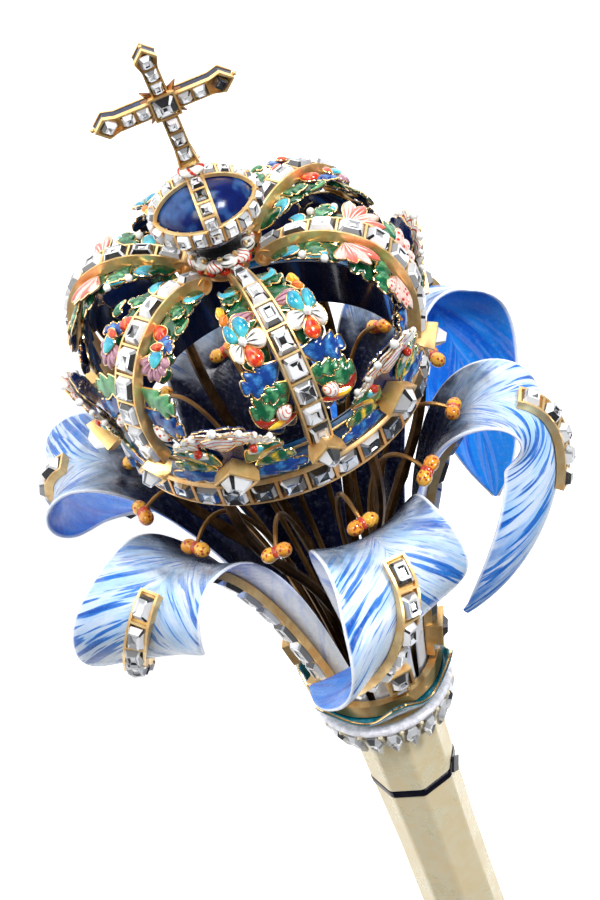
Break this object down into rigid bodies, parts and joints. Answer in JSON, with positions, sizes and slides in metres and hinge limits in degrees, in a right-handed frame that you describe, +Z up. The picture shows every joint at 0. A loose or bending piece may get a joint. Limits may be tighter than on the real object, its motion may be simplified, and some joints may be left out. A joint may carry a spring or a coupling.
{
  "type": "ceremonial sceptre",
  "caption": "Royal sceptre laid down at rest: jewelled gold crown with orb and cross on an enamelled lily with recurved petals, over a slim faceted shaft with knop and pommel.",
  "frame": {"origin": "on the floor under the middle of the lying sceptre's bounding box", "axes": "+X along the sceptre towards the cross, +Z up from the floor it lies on"},
  "size_m": [0.5998, 0.0888, 0.082],
  "materials": {
    "gold": "polished cast and chased gold",
    "pale_gold": "pale satin gilding",
    "petal_enamel": "gloss white enamel with cobalt strokes, cobalt undersides",
    "leaf_enamel": "gloss polychrome enamel on gold",
    "navy_enamel": "gloss dark blue enamel",
    "teal_enamel": "gloss teal enamel",
    "anther_enamel": "gloss orange and yellow enamel on gold wire",
    "sapphire": "polished deep blue stone",
    "diamond": "table-cut clear stone over dark foil"
  },
  "bodies": {
    "root": {"calyx": "teal_enamel", "collar": "gold", "cross": "gold", "cross_ring": "petal_enamel", "crown_arch_1": "gold", "crown_arch_2": "gold", "crown_arch_3": "gold", "crown_arch_4": "gold", "crown_arch_5": "gold", "crown_arch_6": "gold", "crown_crest_1": "leaf_enamel", "crown_crest_2": "leaf_enamel", "crown_crest_3": "leaf_enamel", "crown_crest_4": "leaf_enamel", "crown_crest_5": "leaf_enamel", "crown_crest_6": "leaf_enamel", "crown_hub": "gold", "crown_leafwork_1": "leaf_enamel", "crown_leafwork_2": "leaf_enamel", "crown_leafwork_3": "leaf_enamel", "crown_leafwork_4": "leaf_enamel", "crown_leafwork_5": "leaf_enamel", "crown_leafwork_6": "leaf_enamel", "crown_ring": "navy_enamel", "crown_rods": "gold", "orb": "sapphire", "orb_bands": "gold", "petal_1": "petal_enamel", "petal_2": "petal_enamel", "petal_3": "petal_enamel", "petal_4": "petal_enamel", "petal_5": "petal_enamel", "petal_6": "petal_enamel", "petal_rib_1": "gold", "petal_rib_2": "gold", "petal_rib_3": "gold", "petal_rib_4": "gold", "petal_rib_5": "gold", "petal_rib_6": "gold", "petal_straps": "gold", "pommel": "gold", "shaft_knop": "gold", "shaft_lower": "pale_gold", "shaft_upper": "pale_gold", "stamen_01": "anther_enamel", "stamen_02": "anther_enamel", "stamen_03": "anther_enamel", "stamen_04": "anther_enamel", "stamen_05": "anther_enamel", "stamen_06": "anther_enamel", "stamen_07": "anther_enamel", "stamen_08": "anther_enamel", "stamen_09": "anther_enamel", "stamen_10": "anther_enamel", "stamen_11": "anther_enamel", "stamen_12": "anther_enamel"}
  },
  "joints": []
}
